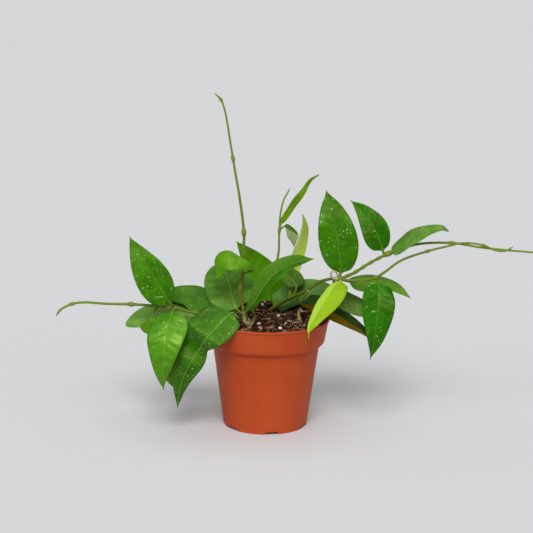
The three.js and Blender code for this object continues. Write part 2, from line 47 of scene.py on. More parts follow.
# Pot
RIM_RADIUS = 60
POT_HEIGHT = 104.3
BASE_RADIUS = 39.8
BODY_RADIUS = 50.8
COLLAR_RADIUS = 56
COLLAR_LINE = 79
SHOULDER_HEIGHT = 5.5
LIP_HEIGHT = 2.4
LIP_STEP = 0.5
WALL = 1.5
FLOOR_THICKNESS = 1.6
POT_SIDES = 240
POT_ROUNDING = 0.5
AXIS_HOLE = 0.01
NOTCH_COUNT = 6
NOTCH_WIDTH = 12.4
NOTCH_HEIGHT = 2.4
NOTCH_DEPTH = 5
FIRST_NOTCH_ANGLE = 9.7

# Soil
SOIL_EDGE = 95.5
SOIL_MOUND = 4.6
SOIL_RISE = 5
SOIL_RISE_BEHIND = (26, 48)
SOIL_RISE_ENDS_RIGHT = (42, 66)
# Each heap: its place, how far it reaches, and its height.
SOIL_HEAPS = (
    ((-9, 39), 8, 5.5),
    ((31, 39), 9, 9.5),
    ((-20, 44), 9, 6),
    ((3, 43.5), 4.2, 6),
    ((44, 24), 9, 6.5),
)
SOIL_GRAIN = 0.9
SOIL_BELOW_RIM = 1.5
SOIL_SLOPE = 1.3
SOIL_GAP = 0.45
SOIL_GRID = 150
BARK_COUNT = 560
SHRED_COUNT = 260
PERLITE_COUNT = 26
CRUMB_COUNT = 900

# Leaves
BLADE_THICKNESS = 0.9
STALK_RADIUS = 1.15
BLADE_ROWS = 72
STALK_ROWS = 12
HALF_COLUMNS = 16
COLUMN_CROWDING = 1.35
BLADE_STARTS = (-0.004, 0.05)
STALK_COLOUR_ENDS = (-0.2, 0.05)
TIP_HALF_WIDTH = 0.35
EDGE_WAVE = 0.5
WAVES_PER_LEAF = 2.3
DRIP_LENGTH = 0.09
VEIN_SLANT = 0.75
VEIN_BEND = 0.016
VEIN_RELIEF = 0.22
GROOVE_DEPTH = 0.34
GROOVE_WIDTH = 0.75
RIDGE_HEIGHT = 1.1
RIDGE_AT_TIP = 0.25
RIDGE_WIDTH = 0.95
SIDE_VEINS = 9
MOTTLING = 0.22
LEAF_ROUGHNESS = 0.33
LEAF_SHINE = 0.24

# Stems
STEM_SIDES = 16
RING_STEP = 1.2
KNOB_CATCH = 2.5
TIP_LENGTH = 4
TIP_SHARE = 0.25
TWIST_LIFT = 0.12
TWIST_DEPTH = 0.2
TWIST_PER_MM = 0.75
FOOT_AGE = 0.55
FOOT_REACH = 10

# Camera, from the pot's ellipses in the photograph
CAMERA_AT = (-0.6, -1431, 469.5)
CAMERA_PITCH = 12.47
CAMERA_ROLL = 0.8
FOCAL_PIXELS = 1555
IMAGE_PIXELS = 533
SENSOR_WIDTH = 36

# Studio, its floor in metres
SKY_LIGHT = 0.1
FLOOR_FRONT = -9.0
FLOOR_BACK = 12.0
FLOOR_HALF_WIDTH = 9.0

# Each leaf repeats the part's source: its path from inside its stem through the foot of the blade
# to the tip, then for the right and left halves, seen from the foot, how wide they are and how
# pointed at foot and tip, the way the upper side faces, and fold, curl and twist in degrees. A shear
# draws the right half forward, and a dent turns down and narrows a half at one place.
# Its look follows: colour, amount of flecks, and strength of the veins. Some have a strength of the
# midrib (rib), a count of side veins, mottling, shine, roughness, and a colour of their own for the
# underside (back) or for one half (half: side, colour).
LEAVES = {
    "left_upright": dict(
        path=[(-86, -16, 115), (-90, -19, 121), (-105.5, -22, 147), (-118.5, -16, 167),
              (-129, -6, 181)],
        right=(14.6, 0.75, 1.4), left=(19, 0.55, 1.1), face=(0.15, -1, 0.25),
        fold=10, curl=10, colour=(52, 114, 4), flecks=1.4, veins=0.5,
    ),
    "left_hanging": dict(
        path=[(-84, -16, 115), (-87.5, -28, 114.5), (-90, -47.5, 107), (-92, -58.5, 95),
              (-93, -62, 80.5), (-93.5, -62, 64.5), (-93.5, -59, 48.5)],
        right=(18.8, 0.5, 1), left=(18.3, 0.55, 1.45), face=(-0.2, -1, 0.35),
        curl=-15, colour=(62, 128, 4), flecks=1.6, veins=1,
        shine=0.75, rough=0.3,
    ),
    "left_back": dict(
        path=[(-50, -16, 112), (-52, 3, 113), (-70, 13, 121.5), (-86, 17, 122), (-101.5, 18, 118)],
        right=(14, 0.5, 0.8), left=(18.5, 0.08, 0.5), face=(0, -0.5, 0.87),
        curl=-10, colour=(54, 108, 14), flecks=0.3, veins=0.5,
    ),
    "left_low": dict(
        path=[(-56.5, -16, 111), (-62.5, -8, 106), (-90.5, 2, 107.5), (-114, -1, 103.5),
              (-133, -8, 96)],
        right=(15.5, 0.5, 0.6), left=(17.5, 0.5, 0.6), face=(0, -0.5, 0.87),
        curl=-10, colour=(96, 141, 54), flecks=0.6, veins=0.4,
    ),
    "left_tucked": dict(
        path=[(-102, -15, 117), (-107.5, -19, 106.5), (-97, -23, 90), (-92.5, -27, 72),
              (-88.5, -30, 57), (-84, -30, 42.5)],
        right=(15, 0.1, 0.5), left=(10, 0.3, 0.6), face=(0, -1, 0.2),
        curl=-10, dent=(1, 0.25, 0.13, 0, 0.55), colour=(84, 136, 22), flecks=1, veins=0.4,
    ),
    "front_large": dict(
        path=[(-22, -20, 106), (-31, -39, 117.5), (-44.5, -49, 107.5), (-55, -58, 97.5),
              (-62, -49, 83.5), (-70, -52, 71.5), (-78.5, -45, 50), (-82.5, -34, 23)],
        right=(24.7, 0.28, 1.22), left=(17.6, 0.2, 1), face=(0.06, -0.9, 0.5),
        curl=-10, twist=-57, dent=(-1, 0.39, 0.1, 1, 0.5), colour=(42, 100, 8), flecks=0.7, veins=1.2,
        rib=0.6, count=6, shine=0.4, rough=0.4,
    ),
    "corner": dict(
        path=[(-20, -20, 110), (-28, -10, 114), (-33, -2, 124.5), (-37, 0, 139.5), (-43, -3, 157.5)],
        right=(24, 0.5, 0.75), left=(23.5, 0.45, 0.4), face=(0.1, -1, 0.1),
        colour=(84, 136, 46), flecks=0.2, veins=0.9,
        rib=1, rough=0.4, count=6,
    ),
    "curled": dict(
        path=[(-23, -19, 150), (-16, -25, 154), (-12.5, -29, 159.5), (-18.5, -34, 165),
              (-27.5, -37, 166), (-35.5, -38, 165.5), (-41, -38, 162.5), (-44, -37, 156),
              (-47, -36, 147.5)],
        right=(12.9, 6.3, 3.4), left=(9.5, 0.9, 1), face=(-0.1, -0.8, 0.6),
        curl=-10, colour=(76, 132, 6), flecks=0.4, veins=0.3,
        # back: olive underside, partly its own colour and partly painted shade, darkened where the curl
        # turns it to face down
        back=(88, 92, 8), shine=0.4,
    ),
    "back_upright": dict(
        path=[(1.5, 49.5, 89), (2.5, 52.5, 105.7), (-2, 52.3, 126), (-13.5, 48, 146.5), (-30, 40, 168.5)],
        right=(20, 0.15, 0.95), left=(17, 0.25, 0.95), face=(0.1, -1, 0.3),
        colour=(84, 148, 6), flecks=0.1, veins=0.7,
    ),
    "long_front": dict(
        path=[(-16, -23, 104), (-19, -31, 116), (-11, -37, 128), (-4, -38, 140.5), (4.5, -35, 151),
              (14.5, -30, 158), (27.5, -24, 162.5), (43, -18, 165)],
        right=(12.5, 0.9, 0.8), left=(10.5, 0.9, 0.8), face=(-0.3, -0.8, 0.6),
        fold=32, drip=0.5, colour=(48, 106, 4), flecks=0.3, veins=0.3,
        rib=0.7, shine=0.4, half=(-1, (66, 116, 20)),
    ),
    "behind_long": dict(
        path=[(24.5, 21, 119), (28.5, 24, 127.5), (24.5, 28, 133), (16.5, 31, 139.5),
              (4.5, 30, 146)],
        right=(12.5, 0.35, 0.8), left=(8.5, 0.4, 0.8), face=(0.2, -0.7, 0.7),
        colour=(66, 104, 28), flecks=0.1, veins=0.3,
    ),
    "soil_long": dict(
        path=[(7.5, 41, 92.5), (7, 39, 104.5), (18, 37, 112), (32, 33, 120), (47.5, 30, 124.5),
              (64.5, 26, 127)],
        right=(10.4, 0.25, 0.4), left=(14.3, 0.3, 0.65), face=(0, -0.9, 0.62),
        colour=(84, 126, 56), flecks=0.2, veins=0.4,
    ),
    "lime_hanging": dict(
        path=[(68, -4, 143), (69, -8, 142), (62.5, -20, 138.5), (57.5, -29, 132.5),
              (52.5, -37, 126.5), (46.5, -46, 119), (41, -54, 111.5), (38.5, -59, 106),
              (39, -61, 99.5)],
        right=(6.6, 0.9, 1.2), left=(13.8, 0.4, 1.05), face=(-0.2, -0.85, 0.5),
        curl=-10, drip=0.85, colour=(140, 176, 26), flecks=0, veins=0.35,
        mottle=0.05, rib=0.15, half=(1, (160, 196, 60)),
    ),
    "right_tall": dict(
        path=[(67, -4, 143), (69, -4, 148), (67, -2, 170.5), (62.5, 2, 195.5), (57.5, 10, 214.5),
              (54.5, 14, 224.5)],
        right=(19.2, 0.55, 1), left=(17.8, 0.6, 0.95), face=(0, -1, 0.15),
        fold=5, drip=0.5, colour=(46, 108, 2), flecks=2.2, veins=0.5,
    ),
    "right_small": dict(
        path=[(109, -10, 168), (108, -9, 171.5), (101, -6, 190), (91, 2, 203), (77, 10, 216)],
        right=(12.4, 0.6, 1.05), left=(13.8, 0.5, 1.35), face=(0.1, -1, 0.2),
        fold=10, drip=0.4, colour=(32, 98, 0), flecks=0.7, veins=0.6,
    ),
    "right_sideways": dict(
        path=[(112, -11, 169), (115, -13, 171), (123.5, -17, 179.5), (132.5, -21, 187.5),
              (141.5, -23, 192.5), (151.5, -25, 196), (161, -25, 197), (167, -24, 194)],
        right=(9.6, 0.45, 0.95), left=(8.3, 0.45, 0.8), face=(0, -0.6, 0.8),
        curl=-10, colour=(90, 135, 48), flecks=0.5, veins=0.3,
    ),
    "right_droop": dict(
        path=[(68, -4, 143), (77, 4, 139), (95, 9, 137), (117, 7, 134), (136, -1, 125)],
        right=(12, 0.5, 1.35), left=(11.2, 0.7, 1), face=(0, -0.55, 0.83),
        curl=-10, colour=(82, 130, 30), flecks=0.3, veins=0.4,
    ),
    "right_hanging": dict(
        path=[(101, -12, 146), (104, -18, 143), (103.5, -28, 131), (102, -35, 113), (100, -38, 92),
              (97, -36, 73)],
        right=(15.3, 0.5, 1.35), left=(16, 0.5, 1.15), face=(0.1, -1, 0.25),
        fold=5, drip=0.3, colour=(30, 98, 0), flecks=0.8, veins=0.8,
    ),
    "right_back": dict(
        path=[(63.5, -1, 141), (63, 9, 128), (72, 16, 119), (88, 14, 112), (106, 10, 105)],
        right=(11, 0.5, 0.7), left=(9.5, 0.5, 0.7), face=(0, -0.8, 0.6),
        colour=(86, 124, 50), flecks=0.2, veins=0.4,
    ),
    "right_arched": dict(
        path=[(39.5, 13, 126.5), (32, 6, 117), (45, -1.5, 113), (59, -9, 106), (73, -16, 101),
              (87, -23, 96.5), (101.5, -27, 89.5)],
        right=(9, 1.6, 1.7), left=(15.2, 0.3, 0.7), face=(0.1, -0.1, 1),
        # colour: a near-black green, painted shade where this leaf lies in the shadow of the leaves above
        # it
        fold=40, dent=(1, 0.5, 1, -28, 0), colour=(12, 44, 2), flecks=0.1, veins=0.3,
        back=(122, 104, 6),
    ),
    "lime_upright": dict(
        path=[(22, 24, 118), (23, 30, 126.5), (25.5, 42, 139), (29, 47, 154.5), (33, 44, 170),
              (34.5, 37, 183.5), (33, 28, 199)],
        right=(7.5, 0.6, 0.85), left=(7.2, 0.6, 1.6), face=(0.5, -1, 0.1),
        # colour: pale lime, partly the leaf's own colour and partly painted light, made paler to stand in
        # for light shining through the leaf
        curl=10, colour=(196, 226, 90), flecks=0, veins=0.4,
        mottle=0.05, half=(-1, (214, 236, 130)),
    ),
    "narrow": dict(
        path=[(11, 5, 187), (12.5, 6, 193), (21.5, 8, 207), (32, 10, 221.5), (40, 13, 233.5),
              (47.5, 15, 239)],
        right=(4.4, 0.3, 0.8), left=(3.7, 0.5, 0.8), stalk=0.8, face=(-0.5, -0.8, 0.3),
        fold=20, drip=0.5, colour=(88, 126, 2), flecks=0, veins=0.3,
    ),
    "folded_small": dict(
        path=[(11, 5, 187), (15.5, 3, 191), (20, 3, 188), (24.5, 4, 185.5), (29, 5, 182)],
        right=(12, 1.6, 1), left=(4.2, 0.3, 0.8), stalk=0.8, face=(0.1, -1, 0.25), shear=0.69,
        fold=-8, colour=(60, 98, 34), flecks=0.1, veins=0.3,
        back=(120, 140, 80), half=(1, (138, 158, 98)),
    ),
}

# Each stem: centre line, radii at both ends, and age at both ends, from 0 (green) to 1 (woody).
# A blunt stem has a cut end, and a twisted one is grooved between two places along X.
FRONT_STEMS = [
    dict(path=[(-15, -22, 84), (-15.5, -22, 97), (-18, -22, 105)], radii=(2.1, 1.9), age=(1, 0.95)),
    dict(
        path=[(-17.5, -22, 103), (-23, -20, 107), (-32, -17, 111), (-48, -16, 112), (-66, -16, 111),
              (-85, -16, 115), (-105, -15, 117), (-127, -14, 118), (-152, -13, 118), (-171, -13, 119),
              (-183, -12, 117), (-194, -12, 111), (-198, -12, 105)],
        radii=(1.6, 1), age=(0.75, 0.05),
    ),
    dict(
        path=[(-17.5, -22, 103), (-21, -20, 111), (-23, -19, 122), (-25, -19, 133), (-23, -19, 148),
              (-22, -18, 174), (-22, -17, 189), (-26, -14, 219), (-31, -11, 246), (-35, -9, 269),
              (-41, -6, 301), (-45, -5, 311), (-51, -4, 316)],
        radii=(1.6, 0.8), age=(0.6, 0),
    ),
    dict(
        path=[(-15.5, -22, 100), (-11, -21, 109), (-13, -21, 118), (-7, -15, 131), (4, -4, 148),
              (10, 2, 162), (11, 5, 186), (12, 6, 204), (15, 8, 216), (21, 10, 227)],
        radii=(1.5, 0.7), age=(0.6, 0),
    ),
    dict(path=[(-17, -22.5, 102), (-17, -26, 109)], radii=(1.3, 1.1), age=(1, 1), blunt=True),
]
RIGHT_VINE = [
    dict(
        path=[(1, 37, 84), (2, 36, 99), (16, 28, 112), (23, 22, 118), (37, 15, 126), (50, 8, 137),
              (61, 0, 142), (67, -4, 143), (80, -8, 149), (96, -10, 160), (112, -11, 169),
              (124, -12, 174), (140, -12, 179), (172, -9, 180), (199, -8, 176), (227, -6, 173),
              (249, -4, 171), (271, -2, 168), (285, 0, 170)],
        radii=(1.7, 0.8), age=(0.45, 0.05), twisted=(72, 110),
    ),
    dict(
        path=[(67, -4, 143), (80, -10, 143), (100, -12, 146), (109, -15, 152), (124, -17, 164),
              (149, -15, 173), (170, -12, 178), (180, -10, 180), (191, -9, 180), (202, -9, 178),
              (214, -8, 173), (223, -8, 173), (230, -7, 177)],
        radii=(1.3, 0.8), age=(0.3, 0.05),
    ),
    dict(
        path=[(66, -4, 143), (61, -8, 145), (60, -9, 150), (64, -8, 151), (67.5, -5, 145)],
        radii=(0.95, 0.85), age=(1, 1),
    ),
    dict(path=[(41, 13, 129), (38, 12, 125), (37, 11, 120)], radii=(0.8, 0.6), age=(0.6, 0.7)),
]
# The swellings at the nodes: place, radius, and half the length.
FRONT_KNOBS = [
    ((-127, -14, 118), 2.4, 3),
    ((-183, -12, 117), 1.9, 2.6),
    ((-86, -16, 115), 2.1, 2.6),
    ((-17, -22, 103.5), 2.6, 3.6),
    ((-25.4, -19.6, 138), 2.3, 7.5),
    ((-23, -19, 152), 2.1, 3),
    ((-22, -17, 189), 2.4, 3),
    ((-32.5, -10.4, 257), 2, 2.6),
    ((-44.5, -5, 310.5), 1.6, 2.2),
    ((11, 5, 187), 1.7, 2.4),
]
RIGHT_KNOBS = [
    ((23, 22, 118), 2.3, 3),
    ((67, -4, 143), 2.7, 4),
    ((113, -11, 169.5), 2.9, 4),
    ((172, -9, 180), 2, 2.6),
    ((101, -12.5, 146.5), 2, 2.4),
    ((149, -15, 173), 1.8, 2.4),
    ((202, -9, 178), 1.6, 2.2),
]
# White grains on the soil: place and radius.
PERLITE = [
    (-7, -13, 2.3), (13, -23.5, 1.8), (11.5, 14.5, 1.9), (18, 27.5, 1.6), (-4.5, 40, 1.5),
    (-16.5, 25, 1.1), (34, 28, 1.5), (-10, 9, 0.7), (0.5, -5.5, 0.7), (4.5, 27, 0.7), (5.5, -27, 1),
]
# Pale wood chips on the soil: place, half length and turn in degrees.
CHIPS = [
    (39, 24, 4, 20), (22, -2, 3.4, -35), (16, -14, 3, 10),
    (-22, -30, 3.2, 60), (2, 8, 2.6, 130), (-30, 22, 3.5, 80),
]
# Roots that show on the soil, as stems are given.
SOIL_ROOTS = [
    dict(
        path=[(-5, 40, 97), (-7, 40, 103), (-4, 41, 105), (-1, 40, 103), (-1, 39, 96)],
        radii=(0.9, 0.9),
    ),
    dict(path=[(33, 4, 96), (31, 8, 102), (31, 14, 106), (33, 22, 107)], radii=(1.7, 1.1)),
]


# Small helpers

def srgb(red, green, blue, alpha=1.0):
    """A colour of 0 to 255 a channel, as seen on a screen, in Blender's linear numbers."""
    def linear(value):
        share = value / 255
        return share / 12.92 if share <= 0.04045 else ((share + 0.055) / 1.055) ** 2.4
    return (linear(red), linear(green), linear(blue), alpha)


POT_TINT = srgb(255, 206, 170)
WAX_TINT = srgb(234, 255, 140)
PAPER = srgb(212, 213, 216)


def blend(first, second, share):
    """A colour that lies this share of the way from the first to the second."""
    return tuple(a * (1 - share) + b * share for a, b in zip(first[:3], second[:3])) + (1,)


def scaled(colour, factor):
    """A colour made lighter or darker by a factor."""
    return tuple(min(1, channel * factor) for channel in colour[:3]) + (1,)


def smooth(low, high, value):
    """0 below low, 1 above high, and a soft step between."""
    share = np.clip((value - low) / (high - low), 0, 1)
    return share * share * (3 - 2 * share)


def dense_curve(path, per_segment=80):
    """Points of a centripetal Catmull-Rom curve, the length at each, and the length at each path point."""
    points = np.array(path, float)
    ends = np.vstack([2 * points[0] - points[1], points, 2 * points[-1] - points[-2]])
    share = np.linspace(0, 1, per_segment + 1)[1:, None]
    line = [points[:1]]
    for i in range(len(points) - 1):
        a, b, c, d = ends[i:i + 4]
        before = np.linalg.norm(b - a) ** 0.5
        here = np.linalg.norm(c - b) ** 0.5
        after = np.linalg.norm(d - c) ** 0.5
        leave = ((b - a) / before - (c - a) / (before + here) + (c - b) / here) * here
        arrive = ((c - b) / here - (d - b) / (here + after) + (d - c) / after) * here
        square = 3 * (c - b) - 2 * leave - arrive
        cube = 2 * (b - c) + leave + arrive
        line.append(b + leave * share + square * share ** 2 + cube * share ** 3)
    line = np.vstack(line)
    lengths = np.concatenate([[0], np.cumsum(np.linalg.norm(np.diff(line, axis=0), axis=1))])
    return line, lengths, lengths[::per_segment]


def sample(line, lengths, at):
    """Points and unit tangents of a curve at these lengths."""
    points = np.stack([np.interp(at, lengths, line[:, i]) for i in range(3)], 1)
    slope = np.gradient(line, lengths, axis=0)
    tangents = np.stack([np.interp(at, lengths, slope[:, i]) for i in range(3)], 1)
    return points, tangents / np.linalg.norm(tangents, axis=1)[:, None]


def carried(tangents, start, first):
    """Unit vectors square to the curve, carried both ways from row start without turning about it."""
    ups = np.zeros_like(tangents)
    order = list(range(start, len(tangents))) + list(range(start - 1, -1, -1))
    for k in order:
        source = first if k == start else ups[k - 1] if k > start else ups[k + 1]
        up = source - tangents[k] * np.dot(source, tangents[k])
        ups[k] = up / np.linalg.norm(up)
    return ups


def placed(name, data):
    """A new object of these data, linked to the scene."""
    made = bpy.data.objects.new(name, data)
    bpy.context.scene.collection.objects.link(made)
    return made


def mesh_object(name, points, faces, smooth_faces=True):
    """A mesh object from points in millimetres."""
    mesh = bpy.data.meshes.new(name)
    mesh.from_pydata((np.asarray(points) * MM).tolist(), [], faces)
    mesh.validate()
    mesh.update()
    mesh.polygons.foreach_set("use_smooth", [smooth_faces] * len(mesh.polygons))
    return placed(name, mesh)


def point_value(made, name, values):
    """Stores one number for each vertex, for the materials to read."""
    made.data.attributes.new(name, "FLOAT", "POINT").data.foreach_set("value", np.asarray(values, float))


def ring_faces(rings, sides, first=0):
    """Quads between rings of points, and a closing face at each end."""
    faces = []
    for k in range(rings - 1):
        for i in range(sides):
            a = first + k * sides + i
            b = first + k * sides + (i + 1) % sides
            faces.append((a, b, b + sides, a + sides))
    faces.append([first + i for i in range(sides)][::-1])
    faces.append([first + (rings - 1) * sides + i for i in range(sides)])
    return faces


class Shader:
    """Builds one material's nodes."""

    def __init__(self, name):
        self.material = bpy.data.materials.new(name)
        self.material.use_nodes = True
        self.tree = self.material.node_tree
        self.surface = self.tree.nodes["Principled BSDF"]

    def put(self, socket, value):
        """Links a node's output, or sets a constant on the socket itself."""
        if isinstance(value, bpy.types.NodeSocket):
            self.tree.links.new(value, socket)
        else:
            socket.default_value = value

    def node(self, kind, inputs=None, **settings):
        """A new node with its inputs and settings filled in."""
        made = self.tree.nodes.new(kind)
        for key, value in settings.items():
            setattr(made, key, value)
        for key, value in (inputs or {}).items():
            self.put(made.inputs[key], value)
        return made

    def math(self, operation, first, second=0.0, third=0.0):
        """The result of one sum."""
        inputs = {0: first, 1: second, 2: third}
        return self.node("ShaderNodeMath", inputs, operation=operation).outputs[0]

    def times(self, first, second):
        return self.math("MULTIPLY", first, second)

    def plus(self, first, second):
        return self.math("ADD", first, second)

    def minus(self, first, second):
        return self.math("SUBTRACT", first, second)

    def value(self, name):
        """A number that the mesh stores at its vertices."""
        return self.node("ShaderNodeAttribute", attribute_name=name).outputs["Fac"]

    def step(self, value, low, high):
        """0 where value is at low, 1 at high, with a soft step between. low may be above high."""
        inputs = {"Value": value, "From Min": low, "From Max": high}
        return self.node("ShaderNodeMapRange", inputs, interpolation_type="SMOOTHSTEP").outputs[0]

    def mix(self, share, first, second):
        """The first colour where share is 0, the second where it is 1."""
        made = self.node("ShaderNodeMix", data_type="RGBA")
        self.put(made.inputs["Factor"], share)
        self.put(made.inputs[6], first)
        self.put(made.inputs[7], second)
        return made.outputs[2]

    def noise(self, vector, scale, detail=3.0, roughness=0.55):
        """A soft random pattern of about 0 to 1."""
        inputs = {"Vector": vector, "Scale": scale, "Detail": detail, "Roughness": roughness}
        return self.node("ShaderNodeTexNoise", inputs).outputs["Fac"]

    def bump(self, height, strength, distance):
        """A fine relief, in metres."""
        inputs = {"Height": height, "Strength": strength, "Distance": distance}
        return self.node("ShaderNodeBump", inputs).outputs["Normal"]

    def finish(self, **sockets):
        """Fills in the surface, and returns the material."""
        for name, value in sockets.items():
            self.put(self.surface.inputs[name.replace("_", " ")], value)
        return self.material


# Leaves

def outline(t, foot, tip, drip):
    """A blade's width at t, from 0 at its foot to 1 at its tip, as a share of its widest."""
    widest = foot / (foot + tip)
    peak = widest ** foot * (1 - widest) ** tip
    return t ** foot * (1 - t) ** tip / peak * (1 - drip * np.exp(-((1 - t) / DRIP_LENGTH) ** 2))


def vein_phase(along, across, gap):
    """Counts the side veins, which leave the midrib slanting and bend towards the tip."""
    return (along - VEIN_SLANT * across + VEIN_BEND * across ** 2) / gap


def leaf_sheet(leaf, index, s):
    """The middle of a leaf: rows along its path and, at the shares s of its width, columns across.

    t runs from -1 at the stem through 0 at the foot of the blade to 1 at its tip, and tt is 0 on the
    stalk. x is measured from the midrib along the blade, and out and lift say where that leads.
    """
    line, lengths, knots = dense_curve(leaf["path"])
    foot, total = knots[1], lengths[-1]
    blade = total - foot
    t_blade = (1 - np.cos(np.linspace(0, np.pi, BLADE_ROWS + 1))) / 2
    on_stalk = np.linspace(0, foot, STALK_ROWS, endpoint=False)
    t = np.concatenate([on_stalk / foot - 1, t_blade])
    centres, tangents = sample(line, lengths, np.concatenate([on_stalk, foot + blade * t_blade]))
    ups = carried(tangents, STALK_ROWS + BLADE_ROWS // 2, np.array(leaf["face"], float))
    turn = np.radians(leaf.get("twist", 0)) * (np.clip(t, 0, 1) - 0.5)
    ups = ups * np.cos(turn)[:, None] + np.cross(tangents, ups) * np.sin(turn)[:, None]
    sides = np.cross(tangents, ups)

    stalk = leaf.get("stalk", STALK_RADIUS)
    bladed = smooth(*BLADE_STARTS, np.where(t < 0, -1, t))[:, None]
    tt = np.clip(t, 0, 1)[:, None]
    drip = leaf.get("drip", 0)
    right, left = leaf["right"], leaf.get("left", leaf["right"])
    widths = [half * outline(tt, foot_full, tip_full, drip) for half, foot_full, tip_full in (right, left)]
    width = np.maximum(np.where(s[None, :] > 0, widths[0], widths[1]), TIP_HALF_WIDTH)
    width = stalk * (1 - bladed) + width * bladed
    fold = np.radians(leaf.get("fold", 0))
    if "dent" in leaf:
        way, middle, reach, angle, narrowing = leaf["dent"]
        dented = np.exp(-((tt - middle) / reach) ** 2) * (np.sign(s)[None, :] == way)
        fold = fold - np.radians(angle) * dented
        width = width * (1 - narrowing * dented)
    x = np.abs(s)[None, :] * width
    bend = math.radians(leaf.get("curl", 0)) / max(right[0], left[0])
    flat = np.sin(bend * x) / bend if bend else x
    raised = (1 - np.cos(bend * x)) / bend if bend else 0 * x
    out = flat * np.cos(fold) - raised * np.sin(fold)
    lift = flat * np.sin(fold) + raised * np.cos(fold)
    wave = 2 * np.pi * WAVES_PER_LEAF * tt + index + s[None, :]
    lift = lift + EDGE_WAVE * s[None, :] ** 2 * np.sin(wave)
    out = out * bladed + x * (1 - bladed)
    ahead = leaf.get("shear", 0) * out * (s[None, :] > 0) * bladed
    centres = centres[:, None, :] + tangents[:, None, :] * ahead[:, :, None]
    return centres, sides, ups, t, tt, x, out, lift * bladed, bladed, blade, foot


def leaf_object(name, leaf, index):
    """One leaf: a round stalk that widens into an arched blade, grooved along its midrib."""
    spread = np.linspace(-1, 1, 2 * HALF_COLUMNS + 1)
    s = np.sign(spread) * np.abs(spread) ** COLUMN_CROWDING
    centres, sides, ups, t, tt, x, out, lift, bladed, blade, foot = leaf_sheet(leaf, index, s)
    stalk = leaf.get("stalk", STALK_RADIUS)
    gap = blade / leaf.get("count", SIDE_VEINS)
    quilt = np.cos(2 * np.pi * vein_phase(tt * blade, x, gap))
    quilt = quilt * smooth(0, 4, x) * (1 - smooth(0.75, 1, np.abs(s)[None, :])) * bladed
    lift = lift - VEIN_RELIEF * leaf["veins"] * quilt

    rim = np.sqrt(np.clip(1 - np.abs(s)[None, :] ** 7, 0.03, 1))
    sheet = BLADE_THICKNESS / 2 * rim * np.ones_like(x)
    groove = GROOVE_DEPTH * np.exp(-(x / GROOVE_WIDTH) ** 2) * (1 - tt)
    ridge = (RIDGE_AT_TIP + RIDGE_HEIGHT * (1 - tt) ** 2) * np.exp(-(x / RIDGE_WIDTH) ** 2)
    round_part = np.sqrt(np.clip(stalk ** 2 - x ** 2, 0, None))
    upper = (sheet - groove) * bladed + round_part * (1 - bladed)
    lower = (sheet + ridge) * bladed + round_part * (1 - bladed)

    def layer(offset):
        way = np.sign(s)[None, :, None]
        return (centres + sides[:, None, :] * way * out[:, :, None]
                + ups[:, None, :] * (lift + offset)[:, :, None])
    rows, columns = x.shape
    points = np.concatenate([layer(upper).reshape(-1, 3), layer(-lower).reshape(-1, 3)])
    count = rows * columns
    faces = []
    for k in range(rows - 1):
        for j in range(columns - 1):
            a = k * columns + j
            b = a + columns
            faces.append((a, a + 1, b + 1, b))
            faces.append((count + a, count + b, count + b + 1, count + a + 1))
        for j, flip in ((0, False), (columns - 1, True)):
            a = k * columns + j
            b = a + columns
            side = (a, b, count + b, count + a)
            faces.append(side[::-1] if flip else side)
    for k, flip in ((0, True), (rows - 1, False)):
        top = [k * columns + j for j in range(columns)]
        bottom = [count + k * columns + j for j in range(columns)][::-1]
        faces.append((top + bottom)[::-1] if flip else top + bottom)
    made = mesh_object("hoya_leaf_" + name, points, [tuple(face) for face in faces])

    values = {
        "along": (tt * blade + np.minimum(t, 0)[:, None] * foot) * MM,
        "across": np.sign(s)[None, :] * x * MM,
        "stalk": (1 - smooth(*STALK_COLOUR_ENDS, t))[:, None],
        "edge": np.abs(s)[None, :],
    }
    for key, value in values.items():
        one_side = (value * np.ones_like(x)).ravel()
        point_value(made, key, np.concatenate([one_side, one_side]))
    point_value(made, "under", np.concatenate([np.zeros(count), np.ones(count)]))
    made.data.materials.append(leaf_material(name, leaf, index, gap))
    return made


